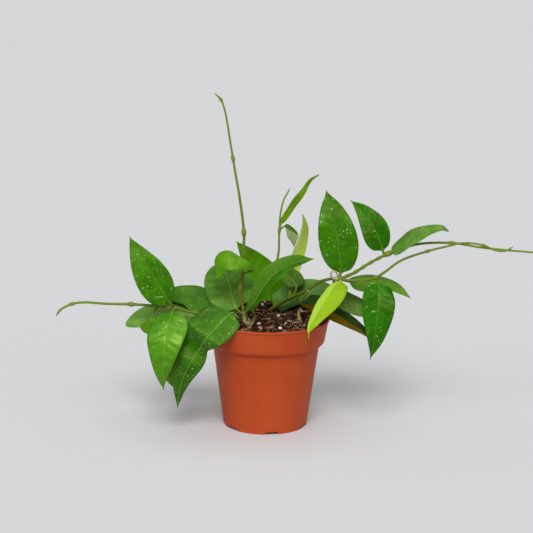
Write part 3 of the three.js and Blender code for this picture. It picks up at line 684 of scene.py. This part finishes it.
def leaf_material(name, leaf, index, gap):
    """Waxy green with a fine midrib, looped side veins, cream flecks and a paler underside."""
    sh = Shader("leaf_" + name)
    along = sh.times(sh.value("along"), 1 / MM)
    across = sh.times(sh.value("across"), 1 / MM)
    from_rib = sh.math("ABSOLUTE", across)
    edge = sh.value("edge")
    under = sh.value("under")
    plane = sh.node("ShaderNodeCombineXYZ", {"X": along, "Y": across, "Z": index * 7.3}).outputs[0]

    narrowing = sh.math("MULTIPLY_ADD", along, 0.9 / (gap * leaf.get("count", SIDE_VEINS)), 0.6)
    rib = sh.step(sh.times(from_rib, narrowing), 0.75, 0.15)
    to_line = vein_distance(sh, along, from_rib, plane, gap)
    side_vein = sh.times(sh.step(to_line, 0.44, 0.49), sh.step(edge, 0.8, 0.6))
    loop_at = sh.minus(0.84, sh.times(to_line, 0.34))
    loop = sh.step(sh.math("ABSOLUTE", sh.minus(edge, loop_at)), 0.04, 0.01)
    veins = sh.math("MAXIMUM", side_vein, sh.times(loop, 0.8))
    fading = sh.step(sh.noise(plane, 0.06, 2), 0.35, 0.65)
    veins = sh.times(veins, sh.times(fading, leaf["veins"]))

    base = srgb(*leaf["colour"])
    mottle = leaf.get("mottle", MOTTLING)
    lighter = scaled(base, 1 + mottle)
    darker = scaled(base, 1 - mottle)
    pale = blend(base, srgb(170, 206, 84), 0.4)
    cloud = sh.noise(plane, 0.07, 3)
    colour = sh.mix(sh.step(cloud, 0.32, 0.68), darker, lighter)
    if "half" in leaf:
        way, half_colour = leaf["half"]
        colour = sh.mix(sh.step(across, -0.2 * way, 0.5 * way), colour, srgb(*half_colour))
    colour = sh.mix(sh.times(veins, 0.4), colour, pale)
    colour = sh.mix(sh.times(rib, leaf.get("rib", 0.3)), colour, pale)
    if leaf["flecks"] > 0:
        upper = sh.minus(1.0, under)
        fleck = sh.times(fleck_mask(sh, plane, leaf["flecks"]), upper)
        colour = sh.mix(sh.times(fleck, 0.75), colour, srgb(200, 220, 150))
    if "back" in leaf:
        underside = srgb(*leaf["back"])
    else:
        underside = blend(base, srgb(120, 140, 66), 0.45)
    colour = sh.mix(under, colour, sh.mix(sh.times(cloud, 0.4), underside, darker))
    rim = sh.step(edge, 0.94, 1.0)
    colour = sh.mix(sh.times(rim, 0.35), colour, darker)
    colour = sh.mix(sh.value("stalk"), colour, blend(base, srgb(102, 118, 34), 0.8))

    skin = sh.noise(plane, 1.3, 3, 0.6)
    height = sh.minus(sh.times(skin, 0.3), sh.times(veins, 1.2))
    height = sh.minus(height, sh.times(rib, 0.8))
    rough = sh.plus(leaf.get("rough", LEAF_ROUGHNESS), sh.times(skin, 0.12))
    rough = sh.plus(rough, sh.times(under, 0.2))
    return sh.finish(
        Base_Color=colour,
        Roughness=rough,
        Normal=sh.bump(height, 0.35, 0.0003),
        Specular_IOR_Level=leaf.get("shine", LEAF_SHINE),
        Specular_Tint=WAX_TINT,
    )


def vein_distance(sh, along, from_rib, plane, gap):
    """0 halfway between two side veins and 0.5 on a vein."""
    wobble = sh.times(sh.minus(sh.noise(plane, 0.12, 2), 0.5), 0.9)
    slant = sh.times(from_rib, -VEIN_SLANT)
    curve = sh.times(sh.times(from_rib, from_rib), VEIN_BEND)
    phase = sh.math("DIVIDE", sh.plus(sh.plus(along, slant), curve), gap)
    phase = sh.plus(phase, wobble)
    return sh.math("ABSOLUTE", sh.minus(sh.math("FRACT", phase), 0.5))


def fleck_mask(sh, plane, amount):
    """Small ragged specks, some alone and most in clusters, with a few drawn-out splashes."""
    warp = sh.node("ShaderNodeTexNoise", {"Vector": plane, "Scale": 0.8, "Detail": 2.0}).outputs["Color"]
    shifts = {0: warp, 1: (1.5, 1.5, 0), 2: plane}
    moved = sh.node("ShaderNodeVectorMath", shifts, operation="MULTIPLY_ADD").outputs[0]
    clusters = sh.step(sh.noise(plane, 0.1, 2), 0.48, 0.62)
    mask = None
    for scale, lone, grouped, radius in ((0.34, 0.04, 0.36, 0.13), (0.75, 0.02, 0.3, 0.24)):
        cells = sh.node("ShaderNodeTexVoronoi", {"Vector": moved, "Scale": scale})
        chance = sh.node("ShaderNodeSeparateColor", {"Color": cells.outputs["Color"]}).outputs
        wanted = sh.math("MULTIPLY_ADD", clusters, grouped * amount, lone * amount)
        chosen = sh.math("LESS_THAN", chance[0], wanted)
        size = sh.math("MULTIPLY_ADD", chance[1], radius, 0.04)
        spot = sh.step(cells.outputs["Distance"], sh.plus(size, 0.09), size)
        dot = sh.times(spot, chosen)
        mask = dot if mask is None else sh.math("MAXIMUM", mask, dot)
    drawn_out = {"Vector": moved, "Rotation": (0, 0, 0.9), "Scale": (1, 0.35, 1)}
    stretched = sh.node("ShaderNodeMapping", drawn_out)
    splash = sh.step(sh.noise(stretched.outputs[0], 0.55, 3, 0.6), 0.64, 0.7)
    splash = sh.times(splash, sh.times(clusters, min(1, 0.8 * amount)))
    return sh.math("MAXIMUM", mask, splash)


# Stems

def stem_parts(stem, knobs):
    """Points, faces and age of one stem, swollen at its nodes and tapered at its free end."""
    line, lengths, _ = dense_curve(stem["path"])
    total = lengths[-1]
    rings = max(3, int(total / RING_STEP))
    at = np.linspace(0, total, rings)
    centres, tangents = sample(line, lengths, at)
    radius = stem["radii"][0] + (stem["radii"][1] - stem["radii"][0]) * at / total
    ringed = np.zeros(rings)
    for place, knob_radius, half in knobs:
        away = np.linalg.norm(line - np.array(place, float), axis=1)
        nearest = int(np.argmin(away))
        if away[nearest] < KNOB_CATCH:
            reach = (at - lengths[nearest]) / half
            radius = radius + (knob_radius - radius) * np.exp(-1.3 * reach ** 2)
            ringed = np.maximum(ringed, np.exp(-9 * reach ** 2))
    if not stem.get("blunt"):
        radius = radius * (TIP_SHARE + (1 - TIP_SHARE) * smooth(0, TIP_LENGTH, total - at))
    ups = carried(tangents, 0, np.array((0.3, -1, 0.2)))
    sides = np.cross(tangents, ups)
    angle = np.linspace(0, 2 * np.pi, STEM_SIDES, endpoint=False)
    wide = radius[:, None] * np.ones(STEM_SIDES)
    if "twisted" in stem:
        low, high = stem["twisted"]
        share = smooth(low - 4, low + 4, centres[:, 0]) * (1 - smooth(high - 4, high + 2, centres[:, 0]))
        twist = np.cos(2 * angle[None, :] + at[:, None] * TWIST_PER_MM)
        wide = wide * (1 + share[:, None] * (TWIST_LIFT + TWIST_DEPTH * twist))
    points = (centres[:, None, :]
              + ups[:, None, :] * (np.cos(angle)[None, :, None] * wide[:, :, None])
              + sides[:, None, :] * (np.sin(angle)[None, :, None] * wide[:, :, None]))
    age = stem["age"][0] + (stem["age"][1] - stem["age"][0]) * at / total
    age = age + FOOT_AGE * np.exp(-at / FOOT_REACH)
    return points.reshape(-1, 3), rings, np.repeat(age, STEM_SIDES), np.repeat(ringed, STEM_SIDES)


def stem_object(name, stems, knobs, material):
    """Stems that grew together, as one piece."""
    points, rings, ages, nodes = zip(*(stem_parts(stem, knobs) for stem in stems))
    faces, first = [], 0
    for count in rings:
        faces += ring_faces(count, STEM_SIDES, first)
        first += count * STEM_SIDES
    made = mesh_object(name, np.concatenate(points), faces)
    point_value(made, "age", np.concatenate(ages))
    point_value(made, "node", np.concatenate(nodes))
    made.data.materials.append(material)
    return made


def stem_material():
    """Green near the tips, olive and tan where the stem is old, with tan scars at the nodes."""
    sh = Shader("hoya_stem")
    where = sh.node("ShaderNodeTexCoord").outputs["Object"]
    grain = sh.noise(where, 900, 4)
    blotch = sh.noise(where, 130, 3)
    age = sh.plus(sh.value("age"), sh.times(sh.minus(blotch, 0.5), 0.5))
    ramp = sh.node("ShaderNodeValToRGB", {"Fac": age})
    ramp.color_ramp.elements.remove(ramp.color_ramp.elements[1])
    ramp.color_ramp.elements[0].color = srgb(112, 146, 30)
    ramp.color_ramp.elements.new(0.35).color = srgb(106, 128, 30)
    ramp.color_ramp.elements.new(0.7).color = srgb(114, 114, 36)
    ramp.color_ramp.elements.new(1.0).color = srgb(186, 176, 126)
    colour = sh.mix(sh.times(sh.value("node"), 0.55), ramp.outputs["Color"], srgb(150, 152, 56))
    colour = sh.mix(sh.times(sh.step(grain, 0.35, 0.75), 0.25), colour, srgb(64, 66, 14))
    return sh.finish(
        Base_Color=colour, Roughness=0.5, Normal=sh.bump(grain, 0.4, 0.0003), Specular_IOR_Level=0.25,
    )


# Pot

def wall_radius(z):
    """The pot's outer radius at this height."""
    shoulder = COLLAR_LINE + SHOULDER_HEIGHT
    if z <= COLLAR_LINE:
        return BASE_RADIUS + (BODY_RADIUS - BASE_RADIUS) * z / COLLAR_LINE
    return COLLAR_RADIUS + (RIM_RADIUS - COLLAR_RADIUS) * (z - shoulder) / (POT_HEIGHT - shoulder)


def inner_radius(z):
    """The pot's inner radius at this height."""
    if z <= COLLAR_LINE + SHOULDER_HEIGHT:
        z = min(z, COLLAR_LINE)
    return wall_radius(z) - WALL


def rounded(profile, cut, steps=5):
    """A profile with its corners rounded by about cut millimetres."""
    result = [profile[0]]
    for before, corner, after in zip(profile, profile[1:], profile[2:]):
        corner = np.array(corner, float)
        back = np.array(before) - corner
        on = np.array(after) - corner
        start = corner + back * min(cut / np.linalg.norm(back), 0.45)
        end = corner + on * min(cut / np.linalg.norm(on), 0.45)
        for k in range(steps + 1):
            u = k / steps
            result.append(tuple((1 - u) ** 2 * start + 2 * u * (1 - u) * corner + u * u * end))
    return result + [profile[-1]]


BOX_FACES = [(0, 1, 3, 2), (4, 6, 7, 5), (0, 4, 5, 1), (2, 3, 7, 6), (0, 2, 6, 4), (1, 5, 7, 3)]


def pot_object():
    """The pot as a fine turned shell with its foot notches cut out."""
    shoulder = COLLAR_LINE + SHOULDER_HEIGHT
    lip_foot = POT_HEIGHT - LIP_HEIGHT
    corners = [
        (AXIS_HOLE, 0),
        (BASE_RADIUS, 0),
        (wall_radius(2.6), 2.6),
        (wall_radius(3) - 0.18, 3),
        (wall_radius(3.4), 3.4),
        (BODY_RADIUS, COLLAR_LINE),
        (BODY_RADIUS + 2.8, COLLAR_LINE + 1),
        (BODY_RADIUS + 4.5, COLLAR_LINE + 2.8),
        (COLLAR_RADIUS, shoulder),
        (wall_radius(lip_foot) - LIP_STEP, lip_foot),
        (RIM_RADIUS, lip_foot + LIP_STEP),
        (RIM_RADIUS, POT_HEIGHT - 0.3),
        (RIM_RADIUS - 0.5, POT_HEIGHT),
        (RIM_RADIUS - WALL, POT_HEIGHT),
        (inner_radius(shoulder + 1), shoulder + 1),
        (inner_radius(COLLAR_LINE), COLLAR_LINE - 1),
        (inner_radius(FLOOR_THICKNESS), FLOOR_THICKNESS),
        (AXIS_HOLE, FLOOR_THICKNESS),
    ]
    profile = rounded(corners, POT_ROUNDING)
    angle = np.linspace(0, 2 * np.pi, POT_SIDES, endpoint=False)
    points = []
    for radius, z in profile:
        ring = np.stack([radius * np.cos(angle), radius * np.sin(angle), np.full(POT_SIDES, z)], 1)
        points.append(ring)
    pot = mesh_object("nursery_pot", np.concatenate(points), ring_faces(len(profile), POT_SIDES))
    cutter = notch_cutter()
    cut = pot.modifiers.new("notches", "BOOLEAN")
    cut.operation = "DIFFERENCE"
    cut.solver = "EXACT"
    cut.object = cutter
    depsgraph = bpy.context.evaluated_depsgraph_get()
    done = bpy.data.meshes.new_from_object(pot.evaluated_get(depsgraph))
    pot.modifiers.clear()
    pot.data = done
    bpy.data.objects.remove(cutter)
    pot.data.materials.clear()
    pot.data.materials.append(pot_material())
    pot.data.polygons.foreach_set("use_smooth", [True] * len(pot.data.polygons))
    pot.data.set_sharp_from_angle(angle=math.radians(35))
    return pot


def notch_cutter():
    """Boxes that cut the notches out of the pot's foot, as one object."""
    points, faces = [], []
    for k in range(NOTCH_COUNT):
        turn = math.radians(FIRST_NOTCH_ANGLE + k * 360 / NOTCH_COUNT)
        faces += [tuple(8 * k + i for i in face) for face in BOX_FACES]
        for x in (-NOTCH_WIDTH / 2, NOTCH_WIDTH / 2):
            for y in (-BASE_RADIUS - NOTCH_DEPTH, -BASE_RADIUS + NOTCH_DEPTH):
                across = x * math.cos(turn) - y * math.sin(turn)
                away = x * math.sin(turn) + y * math.cos(turn)
                points += [(across, away, -NOTCH_HEIGHT), (across, away, NOTCH_HEIGHT)]
    return mesh_object("notch_cutter", points, faces, smooth_faces=False)


def pot_material():
    """Terracotta-coloured plastic, satin, with fine scuffs and a dusting near the foot."""
    sh = Shader("pot_plastic")
    where = sh.node("ShaderNodeTexCoord").outputs["Object"]
    cloud = sh.noise(where, 18, 3)
    speck = sh.noise(where, 620, 3, 0.6)
    tall = sh.node("ShaderNodeMapping", {"Vector": where, "Scale": (1, 1, 0.06)}).outputs[0]
    streak = sh.noise(tall, 190, 3)
    colour = sh.mix(sh.step(cloud, 0.3, 0.7), srgb(180, 72, 34), srgb(190, 80, 42))
    colour = sh.mix(sh.times(sh.step(streak, 0.55, 0.8), 0.18), colour, srgb(204, 100, 60))
    height = sh.node("ShaderNodeSeparateXYZ", {"Vector": where}).outputs["Z"]
    near_foot = sh.step(height, 0.012, 0.0)
    dust = sh.times(sh.step(speck, 0.58, 0.72), sh.times(near_foot, 0.5))
    colour = sh.mix(dust, colour, srgb(214, 150, 120))
    rough = sh.plus(0.42, sh.times(streak, 0.14))
    bumps = sh.plus(sh.times(speck, 0.5), sh.times(streak, 0.5))
    return sh.finish(
        Base_Color=colour, Roughness=rough, Normal=sh.bump(bumps, 0.12, 0.0002), Specular_IOR_Level=0.15,
        Specular_Tint=POT_TINT,
    )


# Soil

def soil_height(x, y):
    """The part's low mound, heaped up behind the vines and kept below the rim at the wall."""
    r = np.minimum(np.hypot(x, y) / RIM_RADIUS, 1)
    heap = SOIL_RISE * smooth(*SOIL_RISE_BEHIND, y) * (1 - smooth(*SOIL_RISE_ENDS_RIGHT, x))
    for (at_x, at_y), reach, height in SOIL_HEAPS:
        heap = heap + height * np.exp(-((x - at_x) ** 2 + (y - at_y) ** 2) / reach ** 2)
    mound = SOIL_MOUND * np.cos(r * np.pi / 2) + 0.02 * y + heap
    relief = np.sin(x * 0.55 + 1.3) * np.cos(y * 0.47) + 0.6 * np.sin(x * 0.21 - y * 0.83)
    wall = inner_radius(SOIL_EDGE) - np.hypot(x, y)
    highest = POT_HEIGHT - SOIL_BELOW_RIM + SOIL_SLOPE * wall
    return np.minimum(SOIL_EDGE + mound + SOIL_GRAIN * relief, highest)


def lump(rng, scale, steps=1, rough=0.35):
    """Points and faces of a small rough grain."""
    grain = bmesh.new()
    bmesh.ops.create_icosphere(grain, subdivisions=steps, radius=1)
    points = []
    for vertex in grain.verts:
        k = 1 + rough * (rng.random() - 0.5)
        points.append([vertex.co[i] * scale[i] * k for i in range(3)])
    faces = [tuple(v.index for v in face.verts) for face in grain.faces]
    grain.free()
    return np.array(points), faces


def shred(rng, length, width):
    """A curled fibre of four sides."""
    steps = 9
    bend = rng.uniform(-2.2, 2.2)
    lift = rng.uniform(0.1, 0.5)
    points = []
    for k in range(steps):
        u = k / (steps - 1) - 0.5
        a = bend * u
        centre = np.array((length * math.sin(a) / (bend or 1), length * (1 - math.cos(a)) / (bend or 1), 0))
        centre[2] = lift * length * (0.25 - u * u)
        taper = width * (1 - 1.2 * u * u)
        for dy, dz in ((1, 0), (0, 0.5), (-1, 0), (0, -0.5)):
            points.append(centre + np.array((0, dy * taper, dz * taper)))
    return np.array(points), ring_faces(steps, 4)


def turned(points, rng, tilt):
    """Points turned at random, mostly about the Z axis."""
    a, b, c = rng.uniform(0, 2 * math.pi), rng.uniform(-tilt, tilt), rng.uniform(-tilt, tilt)
    turn = Matrix.Rotation(a, 3, "Z") @ Matrix.Rotation(b, 3, "X") @ Matrix.Rotation(c, 3, "Y")
    return points @ np.array(turn).T


def soil_object():
    """Bark mix: a crumbly surface with chips, curled shreds, crumbs and white perlite on it."""
    rng = random.Random(4)
    reach = inner_radius(SOIL_EDGE) - SOIL_GAP
    points, faces, tints, kinds = [], [], [], []

    def add(new_points, new_faces, tint, kind):
        """Adds a grain. kind is 0 for peat, 1 for bark, 2 for perlite and 3 for root."""
        first = sum(len(p) for p in points)
        points.append(np.asarray(new_points, float))
        faces.extend(tuple(first + i for i in face) for face in new_faces)
        tints.append(np.full(len(new_points), tint))
        kinds.append(np.full(len(new_points), kind))

    rings = SOIL_GRID // 2
    around = SOIL_GRID * 2
    angle = np.linspace(0, 2 * np.pi, around, endpoint=False)
    noise = np.random.default_rng(5)
    surface = []
    for k in range(rings, 0, -1):
        radius = reach * k / rings
        x, y = radius * np.cos(angle), radius * np.sin(angle)
        rough = noise.normal(0, 0.28, around)
        pitted = 0.7 * np.sin(x * 1.9 + 2 * np.sin(y * 1.3)) * np.sin(y * 1.7)
        z = soil_height(x, y) - 0.8 + rough + pitted
        surface.append(np.stack([x, y, z], 1))
    below = []
    for z in (FLOOR_THICKNESS + 0.4, COLLAR_LINE - 1, COLLAR_LINE + SHOULDER_HEIGHT + 1):
        radius = inner_radius(z) - SOIL_GAP
        below.append(np.stack([radius * np.cos(angle), radius * np.sin(angle), np.full(around, z)], 1))
    add(np.concatenate(below + surface), ring_faces(len(below) + rings, around), 0.3, 0)

    def strewn(grain, edge, tilt, sunk, spread, kind):
        """Lays a grain on a random place, sunk a little and raised by chance up to spread."""
        radius = (reach - edge) * math.sqrt(rng.random())
        a = rng.uniform(0, 2 * math.pi)
        x, y = radius * math.cos(a), radius * math.sin(a)
        points_turned = turned(grain[0], rng, tilt)
        z = soil_height(x, y) - sunk + (rng.uniform(0, spread) if spread else 0)
        add(points_turned + (x, y, z), grain[1], rng.random(), kind)

    for _ in range(CRUMB_COUNT):
        size = rng.uniform(0.4, 1.1)
        strewn(lump(rng, (size, size * rng.uniform(0.6, 1), size * 0.7)), 1, 0.6, 0.6, 0.9, 0)
    for _ in range(BARK_COUNT):
        size = rng.uniform(0.8, 2.8)
        scale = (size * rng.uniform(1, 2), size * rng.uniform(0.5, 1), size * rng.uniform(0.25, 0.5))
        strewn(lump(rng, scale, 1, 0.6), 2.5, 0.6, 0.3, 1.3, 1)
    for _ in range(SHRED_COUNT):
        strewn(shred(rng, rng.uniform(4, 11), rng.uniform(0.2, 0.55)), 5, 0.35, 0, 1.2, 1)
    for _ in range(PERLITE_COUNT):
        size = rng.choice((0.4, 0.5, 0.6, 0.8, 1))
        grain = lump(rng, (size, size * rng.uniform(0.8, 1), size * 0.85), 2, 0.22)
        strewn(grain, 3, 0.6, -0.2 - 0.35 * size, 0, 2)
    for x, y, size in PERLITE:
        grain, grain_faces = lump(rng, (size, size * 0.9, size * 0.8), 2, 0.25)
        add(turned(grain, rng, 0.6) + (x, y, soil_height(x, y) + 0.5 * size), grain_faces, rng.random(), 2)
    for x, y, size, angle in CHIPS:
        chip, chip_faces = lump(rng, (size, size * 0.42, size * 0.3), 2, 0.3)
        turn = np.array(Matrix.Rotation(math.radians(angle), 3, "Z")).T
        add(chip @ turn + (x, y, soil_height(x, y) + 0.25 * size), chip_faces, 1, 1)
    for root in SOIL_ROOTS:
        stem = dict(root, age=(1, 1), blunt=True)
        made, rings_made, _, _ = stem_parts(stem, [])
        add(made, ring_faces(rings_made, STEM_SIDES), 0.5, 3)
    made = mesh_object("potting_soil", np.concatenate(points), faces)
    point_value(made, "tint", np.concatenate(tints))
    point_value(made, "kind", np.concatenate(kinds))
    made.data.materials.append(soil_material())
    made.data.set_sharp_from_angle(angle=math.radians(50))
    return made


def soil_material():
    """Dark damp peat, brown bark of many shades, white perlite and tan roots in one material."""
    sh = Shader("potting_soil")
    where = sh.node("ShaderNodeTexCoord").outputs["Object"]
    grain = sh.noise(where, 1400, 5, 0.65)
    patch = sh.noise(where, 160, 3)
    tint = sh.value("tint")
    kind = sh.value("kind")
    ramp = sh.node("ShaderNodeValToRGB", {"Fac": tint})
    ramp.color_ramp.elements[0].color = srgb(42, 25, 17)
    ramp.color_ramp.elements[1].color = srgb(186, 142, 108)
    ramp.color_ramp.elements.new(0.55).color = srgb(106, 70, 48)
    peat = sh.mix(sh.step(patch, 0.35, 0.7), srgb(28, 17, 12), srgb(76, 50, 34))
    colour = sh.mix(sh.step(kind, 0.4, 0.6), peat, ramp.outputs["Color"])
    colour = sh.mix(sh.times(sh.step(grain, 0.4, 0.8), 0.5), colour, srgb(30, 20, 15))
    perlite = sh.mix(sh.step(patch, 0.3, 0.7), srgb(253, 251, 247), srgb(238, 232, 224))
    colour = sh.mix(sh.step(kind, 1.4, 1.6), colour, perlite)
    colour = sh.mix(sh.step(kind, 2.4, 2.6), colour, srgb(166, 146, 100))
    return sh.finish(
        Base_Color=colour, Roughness=0.85, Normal=sh.bump(grain, 0.7, 0.0006), Specular_IOR_Level=0.15,
    )


# Studio

def sun(name, azimuth, height, spread, light, colour=(1, 1, 1)):
    """A distant soft light, so many degrees to the right of the camera and above level."""
    data = bpy.data.lights.new(name, "SUN")
    data.angle = math.radians(spread)
    data.energy = light * math.pi
    data.color = colour
    made = placed(name, data)
    turn, lift = math.radians(azimuth), math.radians(height)
    level = math.cos(lift)
    towards = Vector((math.sin(turn) * level, -math.cos(turn) * level, math.sin(lift)))
    made.rotation_euler = towards.to_track_quat("Z", "Y").to_euler()


def studio():
    """A pale level floor that runs far back, a dim even sky and four soft lights."""
    sides = (-FLOOR_HALF_WIDTH, FLOOR_HALF_WIDTH)
    corners = [(x / MM, y / MM, 0) for y in (FLOOR_FRONT, FLOOR_BACK) for x in sides]
    floor = mesh_object("studio_floor", corners, [(0, 1, 3, 2)])
    sh = Shader("studio_paper")
    floor.data.materials.append(sh.finish(Base_Color=PAPER, Roughness=1.0, Specular_IOR_Level=0.0))
    world = bpy.data.worlds.new("studio_sky")
    world.use_nodes = True
    sky = world.node_tree.nodes["Background"]
    sky.inputs["Color"].default_value = (0.95, 0.97, 1, 1)
    sky.inputs["Strength"].default_value = SKY_LIGHT
    bpy.context.scene.world = world
    sun("key", -4, 45, 30, 0.72, (1, 0.985, 0.95))
    sun("left", -48, 40, 26, 0.13)
    sun("right", 46, 38, 40, 0.1)
    sun("top", 180, 80, 60, 0.28)
    bpy.context.scene.view_settings.view_transform = "Standard"


def camera():
    """The photograph's viewpoint."""
    pitch = math.radians(CAMERA_PITCH)
    roll = math.radians(CAMERA_ROLL)
    forward = np.array((0, math.cos(pitch), -math.sin(pitch)))
    level = np.array((1, 0, 0))
    up = np.array((0, math.sin(pitch), math.cos(pitch)))
    right = level * math.cos(roll) + up * math.sin(roll)
    above = up * math.cos(roll) - level * math.sin(roll)
    data = bpy.data.cameras.new("camera")
    data.sensor_width = SENSOR_WIDTH
    data.sensor_fit = "HORIZONTAL"
    data.lens = FOCAL_PIXELS / IMAGE_PIXELS * SENSOR_WIDTH
    data.clip_end = 50
    made = placed("camera", data)
    place = Matrix(np.stack([right, above, -forward], 1).tolist()).to_4x4()
    place.translation = [c * MM for c in CAMERA_AT]
    made.matrix_world = place
    bpy.context.scene.camera = made


def dress():
    """Replaces each CAD node with its finished piece."""
    wood = stem_material()
    pieces = [
        (pot_object(), "pot", "pot_plastic"),
        (soil_object(), "soil", "potting_soil"),
        (stem_object("hoya_front_stems", FRONT_STEMS, FRONT_KNOBS, wood), "front_stems", "stem"),
        (stem_object("hoya_right_vine", RIGHT_VINE, RIGHT_KNOBS, wood), "right_vine", "stem"),
    ]
    for index, (name, leaf) in enumerate(LEAVES.items()):
        finish = "young_leaf" if name.startswith("lime") else "leaf"
        pieces.append((leaf_object(name, leaf, index), "leaf_" + name, finish))
    for piece, node, finish in pieces:
        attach(piece, "root")
        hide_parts(node)


camera()
studio()
dress()
